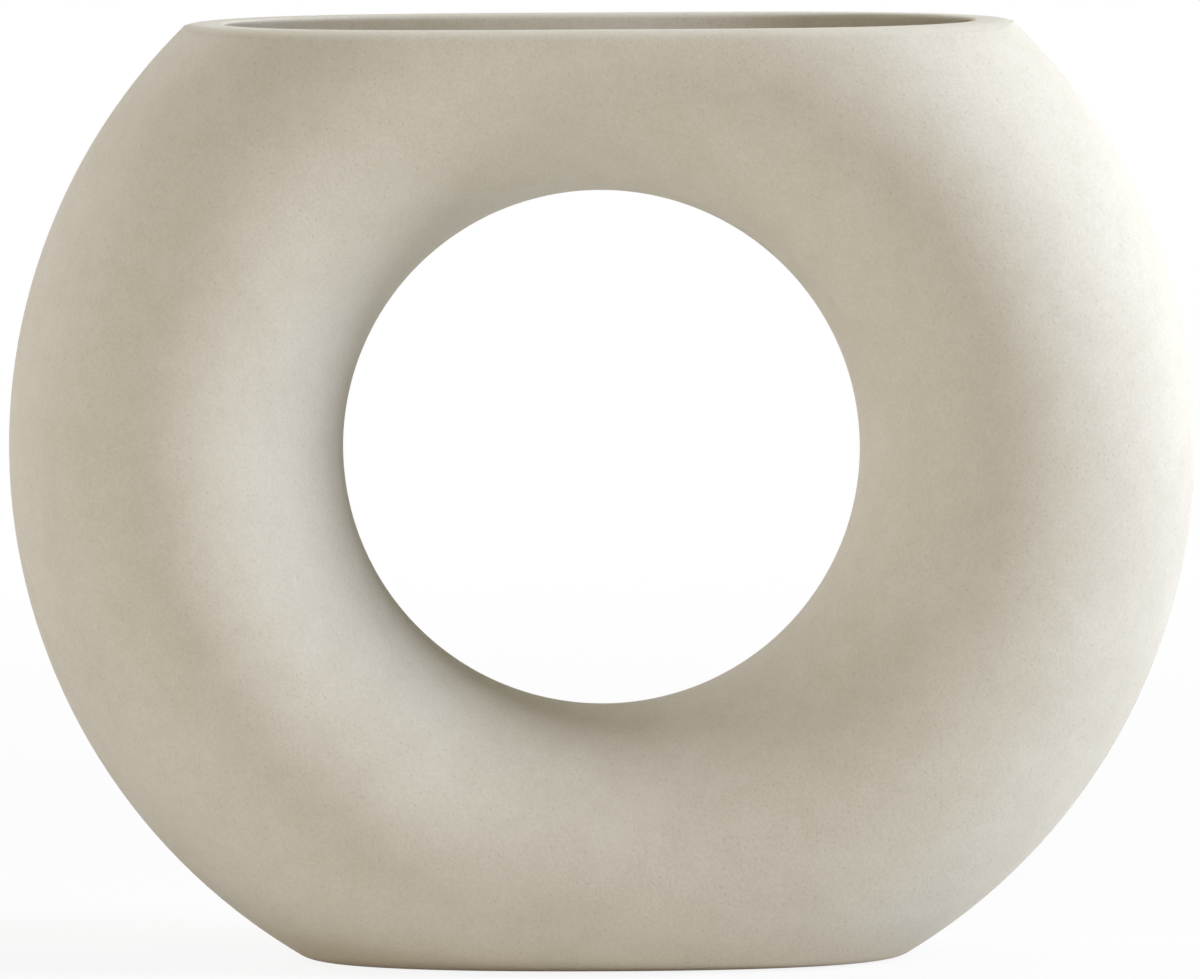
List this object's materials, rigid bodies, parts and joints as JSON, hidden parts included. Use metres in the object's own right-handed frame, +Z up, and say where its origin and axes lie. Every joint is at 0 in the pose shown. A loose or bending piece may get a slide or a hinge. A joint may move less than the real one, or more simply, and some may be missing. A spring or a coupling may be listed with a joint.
{
  "type": "ring vase",
  "caption": "Free-standing ring-shaped stoneware flower vase with a round hole through it, a long level mouth on top and a flat rounded foot.",
  "frame": {"origin": "middle of the flat foot, on the surface that the vase stands on", "axes": "+Z up, +X along the long mouth to the right, +Y along the ring's hole from front to back"},
  "size_m": [0.25, 0.0706, 0.198],
  "materials": {
    "sand_stoneware": "matte, fine sandy grain",
    "foot_stoneware": "matte, sponged foot with a bare underside",
    "seam_clay": "bare fired clay",
    "liner_glaze": "satin lining glaze"
  },
  "bodies": {
    "root": {"front_shell": "sand_stoneware", "rear_shell": "sand_stoneware", "base_slab": "foot_stoneware", "left_seam_coil": "seam_clay", "right_seam_coil": "seam_clay", "hole_seam_coil": "seam_clay", "base_seam_coil": "seam_clay", "interior_glaze": "liner_glaze"}
  },
  "joints": []
}
